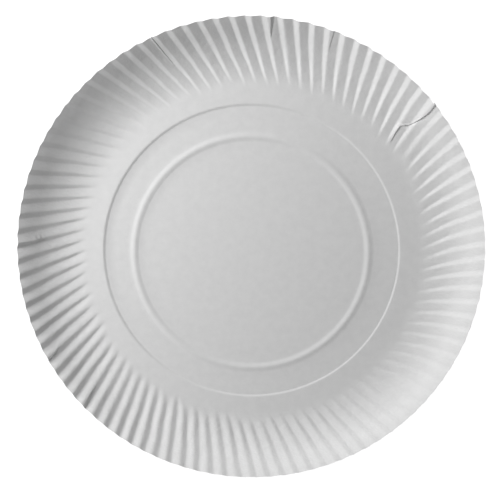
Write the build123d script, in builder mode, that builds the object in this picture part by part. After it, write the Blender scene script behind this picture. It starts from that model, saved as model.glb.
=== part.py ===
from build123d import *
from math import acos, cos, degrees, radians, sin, sqrt, tan
import os

# Fluted paper plate: one round sheet of white paperboard, pressed to shape in a die.

# Driving dimensions, in millimetres and degrees
plate_radius = 115.0
paper = 0.45

# The wall curves up from the shelf and runs out straight to the rim
wall_run = 30.0
wall_arc_radius = 43.0
rim_slope = 35.0

# Rings pressed into the middle: a low step and, inside it, a rounded bead
shelf_width = 9.7
step_width = 0.8
step_rise = 0.5
bead_to_step = 15.5
bead_width = 5.0
bead_rise = 0.5

# The flutes gather the spare paper of the wall. Their folds are straight in plan and miss the centre
flute_count = 96
flute_depth = 1.4
flute_run_in = 9.0
flute_long_side = 0.62
flute_miss_distance = 32.0
first_flute_angle = 1.5

# One tear runs in from the rim along a flute
tear_angle = 40.4
tear_length = 17.0
tear_gap = 0.6

# How far the fluted wall reaches over the middle, where both are flat and the same height
wall_overlap = 1.0

# What follows from the driving dimensions, from the rim inwards
foot_radius = plate_radius - wall_run
step_radius = foot_radius - shelf_width - step_width / 2
bead_radius = step_radius - bead_to_step
middle_radius = foot_radius - wall_overlap / 2

arc_run = wall_arc_radius * sin(radians(rim_slope))
arc_rise = wall_arc_radius * (1 - cos(radians(rim_slope)))
shelf_height = paper / 2 + step_rise
rim_height = shelf_height + arc_rise + (wall_run - arc_run) * tan(radians(rim_slope))

pitch_angle = 360 / flute_count
rim_turn = degrees(acos(flute_miss_distance / plate_radius))


def wall_height(radius):
    """Height of the middle of the paper on the wall, before it is fluted."""
    run = radius - foot_radius
    if run > arc_run:
        return shelf_height + arc_rise + (run - arc_run) * tan(radians(rim_slope))
    return shelf_height + wall_arc_radius - sqrt(wall_arc_radius**2 - run**2)


def wall_slope(radius):
    """Slope of the wall, as rise over run."""
    run = min(radius - foot_radius, arc_run)
    return run / sqrt(wall_arc_radius**2 - run**2)


def fold_points(side, offset):
    """Points along one fold, from the wall's foot to the rim, in the fold's own upright plane.

    side is 1 on a ridge and -1 in a valley. offset is the distance from the middle of the paper.
    """
    stations = 8
    points = []
    for index in range(stations + 1):
        radius = foot_radius + wall_run * (index / stations) ** 1.3
        along = sqrt(radius**2 - flute_miss_distance**2)
        slope = wall_slope(radius) * along / radius
        run_in = min(1, (radius - foot_radius) / flute_run_in)
        depth = flute_depth * radius / plate_radius * run_in * (2 - run_in)
        lift = (side * depth / 2 + offset) / sqrt(1 + slope**2)
        points.append((along - slope * lift, wall_height(radius) + lift))
    return points


def fold_plane(turn):
    """Upright plane of the fold that stands this many flutes round from the first one."""
    angle = radians(first_flute_angle - rim_turn + turn * pitch_angle)
    outward = Vector(cos(angle), sin(angle), 0)
    return Plane(outward * flute_miss_distance, x_dir=(-sin(angle), cos(angle), 0), z_dir=outward)


def pressed_line(bottom):
    """One face of the middle's section, with the bead and the step, from the centre outwards."""
    bead_start = (bead_radius - bead_width / 2, bottom)
    bead_top = (bead_radius, bottom + bead_rise)
    bead_end = (bead_radius + bead_width / 2, bottom)
    step_start = (step_radius - step_width / 2, bottom)
    step_end = (step_radius + step_width / 2, bottom + step_rise)
    level = (1, 0)
    Line((0, bottom), bead_start)
    Spline(bead_start, bead_top, bead_end, tangents=(level, level))
    Line(bead_end, step_start)
    Spline(step_start, step_end, tangents=(level, level))
    Line(step_end, (middle_radius, bottom + step_rise))


# The middle, turned about the plate's axis
with BuildPart() as middle:
    with BuildSketch(Plane.XZ):
        with BuildLine():
            pressed_line(0)
            pressed_line(paper)
            Line((0, 0), (0, paper))
            Line((middle_radius, step_rise), (middle_radius, step_rise + paper))
        make_face()
    revolve(axis=Axis.Z)

# One flute of the wall: a long shallow side and a short steep one, between three folds
with BuildPart() as flute:
    inner_end = sqrt((foot_radius - wall_overlap) ** 2 - flute_miss_distance**2)
    for turn, side in ((0, -1), (flute_long_side, 1), (1, -1)):
        upper = fold_points(side, paper / 2)
        lower = fold_points(side, -paper / 2)
        with BuildSketch(fold_plane(turn)):
            with BuildLine():
                Line((inner_end, step_rise), lower[0])
                Spline(*lower)
                Line(lower[-1], upper[-1])
                Spline(*reversed(upper))
                Line(upper[0], (inner_end, step_rise + paper))
                Line((inner_end, step_rise + paper), (inner_end, step_rise))
            make_face()
    loft(ruled=True)

# The whole plate, with the tear cut from its rim
with BuildPart() as plate:
    add(middle.part)
    with PolarLocations(0, flute_count):
        add(flute.part)

    tear_fold = fold_plane((tear_angle - first_flute_angle) / pitch_angle)
    rim_along = sqrt(plate_radius**2 - flute_miss_distance**2)
    past_rim = rim_along + flute_depth + paper
    with BuildSketch(Plane(tear_fold.origin, x_dir=tear_fold.x_dir, z_dir=(0, 0, 1))):
        with BuildLine():
            Polyline(
                (rim_along - tear_length, 0),
                (past_rim, -tear_gap / 2),
                (past_rim, tear_gap / 2),
                close=True,
            )
        make_face()
    extrude(amount=rim_height + flute_depth + paper, mode=Mode.SUBTRACT)

plate.part.label = "plate"

os.makedirs("parts", exist_ok=True)
export_step(plate.part, "parts/plate.step")
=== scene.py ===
import math

import bmesh
import bpy
import numpy as np
from mathutils import Matrix, Vector


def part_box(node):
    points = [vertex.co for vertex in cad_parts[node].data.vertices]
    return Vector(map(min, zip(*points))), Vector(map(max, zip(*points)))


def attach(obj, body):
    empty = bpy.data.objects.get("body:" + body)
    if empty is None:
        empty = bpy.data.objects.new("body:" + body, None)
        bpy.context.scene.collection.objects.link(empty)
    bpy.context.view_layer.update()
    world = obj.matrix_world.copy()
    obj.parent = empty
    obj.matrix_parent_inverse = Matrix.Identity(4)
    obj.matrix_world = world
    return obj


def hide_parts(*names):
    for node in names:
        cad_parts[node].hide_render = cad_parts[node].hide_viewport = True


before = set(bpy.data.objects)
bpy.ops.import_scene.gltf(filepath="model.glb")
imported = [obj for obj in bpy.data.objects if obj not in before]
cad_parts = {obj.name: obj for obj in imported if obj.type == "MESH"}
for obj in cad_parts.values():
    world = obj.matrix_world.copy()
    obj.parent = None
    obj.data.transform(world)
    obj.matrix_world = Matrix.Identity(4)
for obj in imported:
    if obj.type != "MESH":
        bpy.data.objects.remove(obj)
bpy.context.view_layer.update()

# THE SHEET. The whole plate is one round blank of white uncoated paperboard, pressed between
# two warm dies. The dies give it a flat middle, a raised ring bead, a low step round the middle,
# and a wall that curves up and then flares out straight to the cut edge.
low_corner, high_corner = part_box("plate")
paper = 0.00045
edge_paper = 0.00024
edge_pinch = 0.0012
rim_clearance = 0.00030
rim_radius = high_corner.x - rim_clearance

wall_run = 0.03015
wall_arc_radius = 0.043
rim_slope = math.radians(34.2)
shelf_width = 0.0101
step_width = 0.0013
step_width_swing = 0.0005
step_rise = 0.00041
step_rise_swing = 0.00010
broad_step_side = math.radians(155)
bead_to_step = 0.0155
bead_inner_width = 0.0023
bead_outer_width = 0.0027
bead_rise = 0.00050
bead_fall = 0.00042
ring_offset = 0.00052
ring_offset_side = math.radians(-20)

foot_radius = rim_radius - wall_run
step_radius = foot_radius - shelf_width
bead_radius = step_radius - bead_to_step
arc_run = wall_arc_radius * math.sin(rim_slope)


def smooth(value):
    """Eases a share from 0 to 1, level at both ends."""
    share = np.clip(value, 0, 1)
    return share * share * (3 - 2 * share)


def die_height(radius, angle):
    """Height of the middle of the paper. The rings sit a little off the plate's axis."""
    ring_distance = radius - ring_offset * np.cos(angle - ring_offset_side)
    broad = np.cos(angle - broad_step_side)
    bead_height = bead_rise * smooth((ring_distance - bead_radius) / bead_inner_width + 1)
    bead_height = bead_height - bead_fall * smooth((ring_distance - bead_radius) / bead_outer_width)
    step = (ring_distance - step_radius) / (step_width + step_width_swing * broad) + 0.5
    step_height = (step_rise + step_rise_swing * broad) * smooth(step)
    run = np.clip(radius - foot_radius, 0, None)
    on_arc = np.minimum(run, arc_run)
    wall = wall_arc_radius - np.sqrt(wall_arc_radius**2 - on_arc**2)
    flare = (run - on_arc) * math.tan(rim_slope)
    return low_corner.z + paper / 2 + bead_height + step_height + wall + flare


def die_slope(radius):
    """Slope of the wall at this distance from the axis."""
    return np.arcsin(np.clip((radius - foot_radius) / wall_arc_radius, 0, math.sin(rim_slope)))


# THE FLUTES. Ninety-six pressed folds gather the spare paper of the wall. Seen from above each
# is straight and passes beside the centre, so that they all lean the same way. Where the press
# bit hard they are crisp, with a long shallow side and a short steep one. Opposite it they are
# rounder, and they start at uneven heights all the way round.
flute_count = 96
flute_miss_distance = 0.032
first_flute = math.radians(1.5)
pitch = 2 * math.pi / flute_count
flute_depth = 0.00080
deeper_share = 0.45
deeper_side = math.radians(248)
deeper_focus = 4
round_side = math.radians(236)
round_long_side = 0.54
round_softness = 0.10
round_tip_softness = 0.15
round_focus = 5
crisp_softness = 0.035
tip_long_side = 0.76
rim_long_side = 0.62
opening_share = 0.77
opening_run = 0.17
fold_offset = 0.00096
fold_offset_side = math.radians(-45)
scallop_depth = 0.00018
flat_side = math.radians(325)
flat_reach = math.radians(105)
flat_fade = math.radians(60)
flat_share = 0.60
flat_from_share = 0.80
flat_run = 0.16
start_height = 0.0012
start_swing = 0.0020
start_side = math.radians(-20)
start_scatter = 0.0013
gather_run = 0.0100
gather_swing = 0.0025
gather_side = math.radians(57)
depth_scatter = 0.16
line_scatter = 0.035
crinkle_height = 0.00003
crinkles_per_flute = 3.0
crinkle_start = 0.25
ragged_depth = 0.00005
ragged_power = 6
scallop_power = 3
nicks_per_flute = 2.0


def toward(angle, side, focus):
    """Share from 0 to 1 that is greatest on one side of the plate, and narrower with more focus."""
    return (0.5 + 0.5 * np.cos(angle - side)) ** focus


def mixed(first, second, share):
    """Blends one value into another by a share."""
    return first + (second - first) * share


def turned_from(angle, side):
    """Angle from this side of the plate, from minus half a turn to half a turn."""
    return (angle - side + math.pi) % (2 * math.pi) - math.pi


def fold_turn(radius):
    """Angle that a fold has swung through where it reaches this radius, from its rim end."""
    reach = np.maximum(radius, foot_radius)
    return math.acos(flute_miss_distance / rim_radius) - np.arccos(flute_miss_distance / reach)


def fold_shift(angle, radius):
    """Angle by which the flutes lie off true here, the blank having sat off centre in the die."""
    return fold_offset / radius * np.sin(fold_offset_side - angle)


def pressed_wave(turns, long_side, softness):
    """Height of a flute, from -1 in its valleys to 1 on its ridges, its creases rounded."""
    samples = 480
    around = np.arange(samples) / samples
    sharp = np.interp(around, [0, long_side, 1], [-1, 1, -1])
    orders = np.fft.rfftfreq(samples, 1 / samples)
    rounded = np.fft.rfft(sharp) * np.exp(-2 * (np.pi * orders * softness) ** 2)
    return np.interp(turns % 1, around, np.fft.irfft(rounded, samples), period=1)


def wander(turns, share, rows, seed):
    """Slow uneven drift from flute to flute and out along the wall, from -1 to 1."""
    table = np.random.default_rng(seed).uniform(-1, 1, (flute_count, rows + 1))
    row = np.clip(share, 0, 1) * rows
    row_low = np.minimum(row.astype(int), rows - 1)
    turn_low = np.floor(turns).astype(int)
    across = smooth(turns - turn_low)
    along = smooth(row - row_low)
    here = turn_low % flute_count
    there = (turn_low + 1) % flute_count
    inner = mixed(table[here, row_low], table[there, row_low], across)
    outer = mixed(table[here, row_low + 1], table[there, row_low + 1], across)
    return mixed(inner, outer, along)


# THE WEAR. Where the paper would not gather evenly it tore, folded over or pinched up. Each line
# is given by its points from the rim inwards, as a share of the rim's radius and an angle.
tear_shares = [1.0, 0.9625, 0.9265, 0.8905, 0.875, 0.85, 0.8185, 0.76]
tear_angles = [40.4, 39.6, 39.5, 39.7, 40.05, 41.3, 40.7, 38.7]
tear_end = 0.885
tear_lift = 0.00040
tear_sink = 0.00140
tear_sink_reach = 0.0009
tear_lap = 0.00035
tear_bulge = 0.0030
tear_lap_reach = 0.0040
crease_depth = 0.00035
crease_reach = 0.0009
crease_run = 0.06
least_drop = 0.0002
pucker_narrowing = 0.55
pucker_skew = 0.35


class Tuck:
    """A fold that drops off sharply on one side of its line and dies away on the other."""

    def __init__(self, shares, angles, rise, sink, drop, bulge, high_side):
        self.shares = shares
        self.angles = angles
        self.rise = rise
        self.sink = sink
        self.drop = drop
        self.bulge = bulge
        self.high_side = high_side


tucks = [
    Tuck([1.0, 0.96, 0.925], [85.1, 84.9, 84.6], 0.00030, 0.00055, 0.0017, 0.0008, 1),
    Tuck([1.0, 0.965, 0.925], [70.0, 69.75, 69.3], 0.00010, 0.00022, 0.0006, 0.0010, 1),
    Tuck([1.0, 0.94, 0.8725], [113.8, 112.85, 111.5], 0.00050, 0.00012, 0.0004, 0.0005, 1),
    Tuck([1.0, 0.94, 0.895], [176.2, 175.9, 175.2], 0.00040, 0.00060, 0.0030, 0.0016, -1),
    Tuck([1.0, 0.97, 0.9445], [207.4, 206.7, 205.7], 0.00012, 0.00050, 0.0003, 0.0007, -1),
    Tuck([1.0, 0.949, 0.9175], [222.2, 221.0, 220.7], 0.00025, 0.00055, 0.0016, 0.0012, -1),
]

# Each puckered spot is short ripples that cross the flutes: angle, share of the rim's radius,
# how far it reaches, how high its ripples stand and how far apart they are.
puckers = [
    (174.9, 0.922, 0.0032, 0.00036, 0.0018),
    (40.9, 0.862, 0.0028, 0.00034, 0.0022),
    (38.9, 0.845, 0.0020, 0.00020, 0.0020),
    (111.3, 0.876, 0.0014, 0.00026, 0.0017),
    (69.4, 0.928, 0.0016, 0.00020, 0.0017),
    (205.0, 0.937, 0.0018, 0.00020, 0.0016),
    (177.3, 0.863, 0.0010, 0.00016, 0.0022),
    (125.5, 0.850, 0.0009, 0.00020, 0.0040),
    (242.5, 0.832, 0.0010, 0.00016, 0.0018),
    (143.8, 0.925, 0.0008, -0.00012, 0.0040),
    (143.4, 0.900, 0.0008, -0.00014, 0.0040),
    (143.8, 0.875, 0.0008, -0.00010, 0.0040),
    (143.5, 0.850, 0.0009, -0.00014, 0.0040),
    (143.7, 0.820, 0.0008, -0.00010, 0.0040),
]


def line_turn(shares, angles, radius):
    """Place of a worn line at this radius, counted in flutes."""
    reach = np.maximum(radius, shares[-1] * rim_radius)
    line_angle = np.radians(np.interp(reach / rim_radius, shares[::-1], angles[::-1]))
    return (line_angle - fold_shift(line_angle, reach) - first_flute + fold_turn(reach)) / pitch


# THE PRESSED SURFACE. The paper is followed round from one side of the tear to the other. Its
# columns bend to run along the folds and the worn lines, and crowd together there, so that
# the creases stay sharp.
column_count = 1680
middle_every = 3
under_every = 2
line_reach = 2.2
crowding = 3.0
crowding_width = 0.35
fold_width = 0.12
plain_density = 0.6
fine_steps = 9601


def crowded(places, density, count):
    """Spreads this many steps over the places, closest together where the density is high."""
    total = np.concatenate([[0], np.cumsum((density[1:] + density[:-1]) / 2 * np.diff(places))])
    return np.interp(np.linspace(0, total[-1], count + 1), total, places)


def near_fold(turns, fold):
    """Rises to 1 on one fold of every flute."""
    return np.exp(-(((turns - fold + 0.5) % 1 - 0.5) / fold_width) ** 2)


tear_turn = float(line_turn(tear_shares, tear_angles, rim_radius))
worn_turns = [tear_turn, tear_turn + flute_count]
for tuck in tucks:
    rim_turn = float(line_turn(tuck.shares, tuck.angles, rim_radius))
    worn_turns.append(tear_turn + (rim_turn - tear_turn) % flute_count)
places = np.linspace(tear_turn, tear_turn + flute_count, fine_steps)
density = plain_density + near_fold(places, 0) + near_fold(places, rim_long_side)
for worn_turn in worn_turns:
    density += crowding * np.exp(-((places - worn_turn) / crowding_width) ** 2)
columns = crowded(places, density, column_count)

middle_rows = 26
wall_rows = 36
edge_hold = 0.00008
edge_rows = 2
centre_radius = 0.004
wall_inner = foot_radius - 0.0035
bead_reach = bead_outer_width * 1.15
bead_crowding = 6
step_crowding = 16
crease_crowding = 1.6
crease_span = (0.81, 0.96)
crease_fade = 0.03
ring_steps = 2001

places = np.linspace(centre_radius, wall_inner, ring_steps)
density = 1 + bead_crowding * (np.abs(places - bead_radius) < bead_reach)
density = density + step_crowding * (np.abs(places - step_radius) < step_width)
radii_middle = crowded(places, density, middle_rows)
places = np.linspace(wall_inner, rim_radius - edge_hold, ring_steps)
past_start = smooth((places / rim_radius - crease_span[0]) / crease_fade)
before_end = smooth((crease_span[1] - places / rim_radius) / crease_fade)
density = 1 + crease_crowding * past_start * before_end
radii_wall = crowded(places, density, wall_rows - edge_rows)
radii_wall = np.concatenate([radii_wall, [rim_radius - edge_hold / 2, rim_radius]])
radii = np.concatenate([radii_middle[:-1], radii_wall])

radius, columns_grid = np.meshgrid(radii, columns, indexing="ij")
share = radius / rim_radius
turns = columns_grid.copy()
tear_line = line_turn(tear_shares, tear_angles, radius)
for base in (tear_turn, tear_turn + flute_count):
    near = smooth(1 - np.abs(columns_grid - base) / line_reach)
    turns += (tear_line - tear_turn) * near
for tuck, base in zip(tucks, worn_turns[2:]):
    near = smooth(1 - np.abs(columns_grid - base) / line_reach)
    tuck_line = line_turn(tuck.shares, tuck.angles, radius)
    turns += (tuck_line - line_turn(tuck.shares, tuck.angles, rim_radius)) * near

angle = first_flute + turns * pitch - fold_turn(radius)
angle = angle + fold_shift(angle, np.maximum(radius, foot_radius / 2))
up_wall = (radius - foot_radius) / wall_run
all_along = np.zeros_like(radius)

# the flutes: where each one starts, how deep it is and what section it has
uneven_start = wander(turns, all_along, rows=1, seed=11)
uneven_depth = wander(turns, up_wall, rows=3, seed=12)
uneven_line = wander(turns, up_wall, rows=4, seed=13)
start = foot_radius + start_height + start_swing * np.cos(angle - start_side)
start = start + start_scatter * uneven_start
gather = gather_run + gather_swing * np.cos(angle - gather_side)
gathered = np.clip((radius - start) / gather, 0, 1)
gathered = gathered * (2 - gathered)
depth = flute_depth * share * (1 + deeper_share * toward(angle, deeper_side, deeper_focus))
depth = depth * (1 + depth_scatter * uneven_depth) * gathered
shifted = turns + line_scatter * uneven_line
opened = smooth((share - opening_share) / opening_run)
tip = pressed_wave(shifted + (tip_long_side - rim_long_side) / 2, tip_long_side, crisp_softness)
crisp = mixed(tip, pressed_wave(shifted, rim_long_side, crisp_softness), opened)
round_tip = pressed_wave(shifted, round_long_side, round_tip_softness)
rounded = mixed(round_tip, pressed_wave(shifted, round_long_side, round_softness), opened)
flute = mixed(crisp, rounded, toward(angle, round_side, round_focus))
flattened = flat_share * smooth((flat_reach - np.abs(turned_from(angle, flat_side))) / flat_fade)
flattened = flattened * smooth((share - flat_from_share) / flat_run)
lift = depth / 2 * flute * (1 - flattened)

# the tear: the side counter-clockwise of it rides up over the other, and a crease carries on inwards
torn = np.clip((share - tear_end) / (1 - tear_end), 0, 1)
crease_row = int(np.argmax(radii_wall / rim_radius > tear_shares[-1])) // under_every * under_every
crease_start = radii_wall[crease_row] / rim_radius
creased = np.clip((share - crease_start) / crease_run, 0, 1) * (share < tear_end)
from_tear = (columns_grid - tear_turn) * pitch * radius
before_tear = (tear_turn + flute_count - columns_grid) * pitch * radius
open_height = np.sqrt(torn)
lift += tear_lift * open_height * np.exp(-from_tear / tear_bulge)
lift -= tear_sink * open_height * np.exp(-before_tear / tear_sink_reach)
lift -= crease_depth * creased * np.exp(-before_tear / crease_reach)
lift += crease_depth * creased * np.exp(-from_tear / crease_reach)
lap_angle = tear_lap * torn / radius
angle = angle - lap_angle * smooth(1 - from_tear / tear_lap_reach)
angle = angle + lap_angle * smooth(1 - before_tear / tear_lap_reach)

# the tucks: a short fall on one side of the line, a bulge on the other
for tuck, base in zip(tucks, worn_turns[2:]):
    line = line_turn(tuck.shares, tuck.angles, radius)
    line = line + base - line_turn(tuck.shares, tuck.angles, rim_radius)
    beside = (turns - line) * pitch * radius * tuck.high_side
    inner_share = tuck.shares[-1]
    fade = np.clip((share - inner_share) / (1 - inner_share), 0, 1)
    drop = np.maximum(tuck.drop * fade, least_drop)
    fallen = np.clip(-beside / drop, 0, 1)
    away = np.exp(-(np.maximum(beside, 0) + np.maximum(-beside - drop, 0)) / tuck.bulge)
    lift += (tuck.rise - (tuck.rise + tuck.sink) * fallen) * np.sqrt(fade) * away

# the puckers, and the faint crinkle that is everywhere on the wall
for pucker_angle, pucker_share, reach, height, spacing in puckers:
    across = turned_from(angle, math.radians(pucker_angle)) * radius
    along = radius - pucker_share * rim_radius
    spot = np.exp(-(across / (reach * pucker_narrowing)) ** 2 - (along / reach) ** 2)
    lift += height * spot * np.cos(2 * math.pi * (along + pucker_skew * across) / spacing)
crinkle = wander(turns * crinkles_per_flute, up_wall, rows=9, seed=14)
lift += crinkle_height * crinkle * np.clip(up_wall / crinkle_start, 0, 1)

# the rim: a little ragged where the blank was cut, and drawn in at the ridges
slope = die_slope(radius)
out = radius - np.sin(slope) * lift
ragged_edge = wander(turns * nicks_per_flute, all_along, rows=1, seed=15)
out = out + ragged_depth * (ragged_edge - 1) * np.clip(up_wall, 0, 1) ** ragged_power
out = out - scallop_depth * (flute + 1) / 2 * np.clip(up_wall, 0, 1) ** scallop_power
height = die_height(radius, angle) + np.cos(slope) * lift
middle = np.stack([out * np.cos(angle), out * np.sin(angle), height], axis=-1)

outwards = np.gradient(middle, axis=0)
around = np.gradient(middle, axis=1)
joined = torn[:, 0] <= 0
for direction in (outwards, around):
    seam = (direction[joined, 0] + direction[joined, -1]) / 2
    direction[joined, 0] = seam
    direction[joined, -1] = seam
normal = np.cross(outwards, around)
normal /= np.linalg.norm(normal, axis=-1, keepdims=True)

# the cutter pinched the blank's edge thin, and it is cut straight down
trimmed = smooth((radius - rim_radius) / edge_pinch + 1)[..., None]
thickness = mixed(paper, edge_paper, trimmed)
through = mixed(normal, np.array([0, 0, 1]), trimmed)
upper = middle + through * thickness / 2
lower = middle - through * thickness / 2

# the mesh: the upper side in full, the underside coarser, the flat middle coarser still, and a
# strip of cut edge round the rim and down both sides of the tear and its crease
points = []
point_ridges = []
point_worked = []
ridge = np.clip(flute, -1, 1) * gathered
worked_run = 0.012
worked = np.clip((radius - wall_inner) / worked_run, 0, 1)


def sheet_part(side, picked):
    """Adds part of one side of the sheet to the points and returns its point numbers."""
    rows = side[picked]
    first = sum(len(grid) for grid in points)
    points.append(rows.reshape(-1, 3))
    point_ridges.append(ridge[picked].reshape(-1))
    point_worked.append(worked[picked].reshape(-1))
    return first + np.arange(rows.shape[0] * rows.shape[1]).reshape(rows.shape[:2])


def grid_faces(numbers):
    """Four-sided faces over a grid of point numbers."""
    corners = [numbers[:-1, :-1], numbers[1:, :-1], numbers[1:, 1:], numbers[:-1, 1:]]
    return np.stack(corners, axis=-1).reshape(-1, 4).tolist()


def stitch(coarse, fine, every):
    """Joins a line of points to a line that has more points."""
    strips = []
    for step in range(len(coarse) - 1):
        run = fine[step * every:(step + 1) * every + 1].tolist()
        strips.append([int(coarse[step])] + run + [int(coarse[step + 1])])
    return strips


top_wall = sheet_part(upper, np.s_[middle_rows:])
top_middle = sheet_part(upper, np.s_[:middle_rows, ::middle_every])
under_wall = sheet_part(lower, np.s_[middle_rows::under_every, ::under_every])
under_middle = sheet_part(lower, np.s_[:middle_rows:under_every, ::middle_every * under_every])

faces = grid_faces(top_wall) + grid_faces(top_middle)
faces += stitch(top_middle[-1], top_wall[0], middle_every)
faces.append(top_middle[0, :-1].tolist())
under_faces = grid_faces(under_wall) + grid_faces(under_middle)
under_faces += stitch(under_middle[-1], under_wall[0], middle_every)
under_faces.append(under_middle[0, :-1].tolist())
faces += [face[::-1] for face in under_faces]
paper_faces = len(faces)
faces += [face[::-1] for face in stitch(under_wall[-1], top_wall[-1], under_every)]
torn_under = under_wall[crease_row // under_every:]
torn_top = top_wall[crease_row:]
faces += stitch(torn_under[:, 0], torn_top[:, 0], under_every)
faces += [face[::-1] for face in stitch(torn_under[:, -1], torn_top[:, -1], under_every)]

mesh = bpy.data.meshes.new("pressed_sheet")
mesh.from_pydata(np.concatenate(points).tolist(), [], faces)
for name, values in (("ridge", point_ridges), ("worked", point_worked)):
    attribute = mesh.attributes.new(name, "FLOAT", "POINT")
    attribute.data.foreach_set("value", np.concatenate(values).astype(np.float32))
for number, polygon in enumerate(mesh.polygons):
    polygon.use_smooth = number < paper_faces
    polygon.material_index = 0 if number < paper_faces else 1
seam_gap = 0.000001
shell = bmesh.new()
shell.from_mesh(mesh)
bmesh.ops.remove_doubles(shell, verts=shell.verts, dist=seam_gap)
bmesh.ops.recalc_face_normals(shell, faces=shell.faces)
shell.to_mesh(mesh)
shell.free()
sheet = bpy.data.objects.new("pressed_sheet", mesh)
bpy.context.scene.collection.objects.link(sheet)


def stretched_noise(tree, scale, stretch, turn, detail):
    """Noise drawn out along one direction in the sheet, like fibres that lie that way."""
    place = tree.nodes.new("ShaderNodeTexCoord")
    squeeze = tree.nodes.new("ShaderNodeMapping")
    squeeze.inputs["Rotation"].default_value = (0, 0, math.radians(turn))
    squeeze.inputs["Scale"].default_value = (1 / stretch, 1, 1)
    noise = tree.nodes.new("ShaderNodeTexNoise")
    noise.inputs["Scale"].default_value = scale
    noise.inputs["Detail"].default_value = detail
    noise.inputs["Roughness"].default_value = 0.6
    tree.links.new(place.outputs["Object"], squeeze.inputs["Vector"])
    tree.links.new(squeeze.outputs["Vector"], noise.inputs["Vector"])
    return noise.outputs["Fac"]


def blended(tree, mode, share, first, second):
    """Combines two values by a maths node, the second one scaled by its share."""
    scaled = tree.nodes.new("ShaderNodeMath")
    scaled.operation = "MULTIPLY"
    scaled.inputs[1].default_value = share
    tree.links.new(second, scaled.inputs[0])
    join = tree.nodes.new("ShaderNodeMath")
    join.operation = mode
    tree.links.new(first, join.inputs[0])
    tree.links.new(scaled.outputs[0], join.inputs[1])
    return join.outputs[0]


def ranged(tree, value, low, high, to_low, to_high):
    """Turns the range of a value into another range, clamped at both ends."""
    remap = tree.nodes.new("ShaderNodeMapRange")
    remap.inputs["From Min"].default_value = low
    remap.inputs["From Max"].default_value = high
    remap.inputs["To Min"].default_value = to_low
    remap.inputs["To Max"].default_value = to_high
    tree.links.new(value, remap.inputs["Value"])
    return remap.outputs["Result"]


def coloured(tree, share, first, second):
    """Mixes two colours by a share."""
    mix = tree.nodes.new("ShaderNodeMix")
    mix.data_type = "RGBA"
    mix.inputs["A"].default_value = (*first, 1)
    mix.inputs["B"].default_value = (*second, 1)
    tree.links.new(share, mix.inputs["Factor"])
    return mix.outputs["Result"]


def laid_over(tree, share, base, colour):
    """Lays one colour over the board's own by a share."""
    mix = tree.nodes.new("ShaderNodeMix")
    mix.data_type = "RGBA"
    mix.inputs["B"].default_value = (*colour, 1)
    tree.links.new(base, mix.inputs["A"])
    tree.links.new(share, mix.inputs["Factor"])
    return mix.outputs["Result"]


def carried(tree, name):
    """Value that the mesh carries under this name."""
    attribute = tree.nodes.new("ShaderNodeAttribute")
    attribute.attribute_name = name
    return attribute.outputs["Fac"]


def bumped(tree, height, depth_in_metres):
    """Gives the surface a fine relief of this depth."""
    bump = tree.nodes.new("ShaderNodeBump")
    bump.inputs["Strength"].default_value = 1.0
    bump.inputs["Distance"].default_value = depth_in_metres
    tree.links.new(height, bump.inputs["Height"])
    tree.links.new(bump.outputs["Normal"], tree.nodes["Principled BSDF"].inputs["Normal"])


# the board's face: matted fibres that lie every way, cloudy where the pulp lay thicker, rubbed
# smoother on the ridges of the flutes and greyed in their valleys by a painted shade, with a rare
# grey fleck
white_board = (0.815, 0.815, 0.814)
thin_board = (0.775, 0.775, 0.775)
painted_valley_shade = (0.765, 0.765, 0.765)
fleck_grey = (0.55, 0.55, 0.54)
fibre_scale = 1500
fibre_stretch = 6
fibre_detail = 2
fibre_relief = 0.000016
cloud_scale = 240
cloud_detail = 4
cloud_relief = 3.0
valley_shade_share = 0.6
fleck_scale = 130
fleck_core = 0.012
fleck_reach = 0.030
fleck_share = 0.5
smooth_fibre = 0.58
rough_fibre = 0.70
rubbed_shine = -0.05
crumple_scale = 700
crumple_stretch = 1.6
crumple_turn = 40
crumple_detail = 3
crumple_relief = 11.0

paperboard = bpy.data.materials.new("white_paperboard")
paperboard.use_nodes = True
tree = paperboard.node_tree
shader = tree.nodes["Principled BSDF"]
fibres = stretched_noise(tree, fibre_scale, fibre_stretch, 20, fibre_detail)
for turn in (80, 140):
    crossing = stretched_noise(tree, fibre_scale, fibre_stretch, turn, fibre_detail)
    fibres = blended(tree, "MAXIMUM", 1.0, fibres, crossing)
clouds = stretched_noise(tree, cloud_scale, 1, 0, cloud_detail)
board = coloured(tree, ranged(tree, clouds, 0.3, 0.7, 0, 1), thin_board, white_board)
ridge_rub_and_valley_shade = carried(tree, "ridge")
# painted shade: the board's colour is greyed in the valleys of the flutes
board = laid_over(tree, ranged(tree, ridge_rub_and_valley_shade, -1, 0, valley_shade_share, 0), board, painted_valley_shade)

flecks = tree.nodes.new("ShaderNodeTexVoronoi")
flecks.inputs["Scale"].default_value = fleck_scale
place = tree.nodes.new("ShaderNodeTexCoord")
tree.links.new(place.outputs["Object"], flecks.inputs["Vector"])
flecked = ranged(tree, flecks.outputs["Distance"], fleck_core, fleck_reach, fleck_share, 0)
board = laid_over(tree, flecked, board, fleck_grey)
tree.links.new(board, shader.inputs["Base Color"])

roughness = ranged(tree, fibres, 0.4, 0.8, smooth_fibre, rough_fibre)
shine = blended(tree, "ADD", rubbed_shine, roughness, ridge_rub_and_valley_shade)
tree.links.new(shine, shader.inputs["Roughness"])

relief = blended(tree, "ADD", cloud_relief, fibres, clouds)
crumple = stretched_noise(tree, crumple_scale, crumple_stretch, crumple_turn, crumple_detail)
raised = tree.nodes.new("ShaderNodeMath")
raised.operation = "MULTIPLY"
tree.links.new(crumple, raised.inputs[0])
tree.links.new(carried(tree, "worked"), raised.inputs[1])
bumped(tree, blended(tree, "ADD", crumple_relief, relief, raised.outputs[0]), fibre_relief)

# the cut edge: the board's layers seen end on, dull, greyer and rougher
edge_white = (0.72, 0.72, 0.715)
edge_grey = (0.55, 0.55, 0.545)
edge_roughness = 0.92
edge_relief = 0.00004
layer_scale = 5000
layer_stretch = 3
layer_detail = 3

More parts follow.
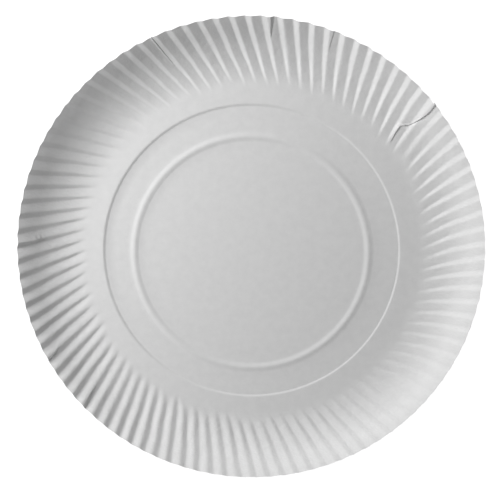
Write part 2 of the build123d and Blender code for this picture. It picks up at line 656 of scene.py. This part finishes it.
cut_edge = bpy.data.materials.new("paper_cut_edge")
cut_edge.use_nodes = True
tree = cut_edge.node_tree
shader = tree.nodes["Principled BSDF"]
layers = stretched_noise(tree, layer_scale, layer_stretch, 0, layer_detail)
layered = coloured(tree, ranged(tree, layers, 0.3, 0.7, 0, 1), edge_grey, edge_white)
tree.links.new(layered, shader.inputs["Base Color"])
shader.inputs["Roughness"].default_value = edge_roughness
bumped(tree, layers, edge_relief)

mesh.materials.append(paperboard)
mesh.materials.append(cut_edge)

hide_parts("plate")
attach(sheet, "root")

# STUDIO. A glowing white floor stands in for the blank background, and it glows too brightly to
# show a shadow. One large square lamp, low on one side, rakes the flutes, and a sky that is
# brighter near the horizon fills them.
floor_half = 3.0
floor_drop = 0.0002
floor_grey = 0.2
floor_roughness = 0.9
floor_glow = 1.0

floor_corners = [(-floor_half, -floor_half, 0), (floor_half, -floor_half, 0),
                 (floor_half, floor_half, 0), (-floor_half, floor_half, 0)]
floor_mesh = bpy.data.meshes.new("floor")
floor_mesh.from_pydata(floor_corners, [], [(0, 1, 2, 3)])
floor = bpy.data.objects.new("floor", floor_mesh)
floor.location.z = low_corner.z - floor_drop
bpy.context.scene.collection.objects.link(floor)
floor_paint = bpy.data.materials.new("floor_white")
floor_paint.use_nodes = True
floor_shader = floor_paint.node_tree.nodes["Principled BSDF"]
floor_shader.inputs["Base Color"].default_value = (floor_grey, floor_grey, floor_grey, 1)
floor_shader.inputs["Roughness"].default_value = floor_roughness
floor_shader.inputs["Emission Color"].default_value = (1, 1, 1, 1)
floor_shader.inputs["Emission Strength"].default_value = floor_glow
floor_mesh.materials.append(floor_paint)

light_azimuth = math.radians(153)
light_elevation = math.radians(31.5)
light_distance = 0.62
light_size = 0.35
light_energy = 4.17

softbox = bpy.data.lights.new("softbox", "AREA")
softbox.shape = "SQUARE"
softbox.size = light_size
softbox.energy = light_energy
lamp = bpy.data.objects.new("softbox", softbox)
to_lamp = Vector((math.cos(light_elevation) * math.cos(light_azimuth),
                  math.cos(light_elevation) * math.sin(light_azimuth),
                  math.sin(light_elevation)))
lamp.location = to_lamp * light_distance
lamp.rotation_euler = to_lamp.to_track_quat("Z", "Y").to_euler()
bpy.context.scene.collection.objects.link(lamp)

horizon_light = 0.40
overhead_light = 0.10

world = bpy.data.worlds.new("studio")
bpy.context.scene.world = world
world.use_nodes = True
sky = world.node_tree
sky_place = sky.nodes.new("ShaderNodeTexCoord")
sky_height = sky.nodes.new("ShaderNodeSeparateXYZ")
sky.links.new(sky_place.outputs["Generated"], sky_height.inputs["Vector"])
sky_light = ranged(sky, sky_height.outputs["Z"], 0, 1, horizon_light, overhead_light)
sky.nodes["Background"].inputs["Color"].default_value = (1, 1, 1, 1)
sky.links.new(sky_light, sky.nodes["Background"].inputs["Strength"])

# the camera hangs nearly straight above the plate, with the plate's +Y upright in its frame
lens = 51.97
eye = Vector((0.009117, 0.061294, 0.36229))
look_at = Vector((-0.000045, 0.002572, 0.0006))

camera_data = bpy.data.cameras.new("camera")
camera_data.lens = lens
camera = bpy.data.objects.new("camera", camera_data)
back = (eye - look_at).normalized()
right = Vector((0, 1, 0)).cross(back).normalized()
up = back.cross(right)
turn = Matrix((right, up, back)).transposed()
camera.matrix_world = Matrix.Translation(eye) @ turn.to_4x4()
bpy.context.scene.collection.objects.link(camera)
bpy.context.scene.camera = camera
bpy.context.scene.view_settings.view_transform = "Standard"
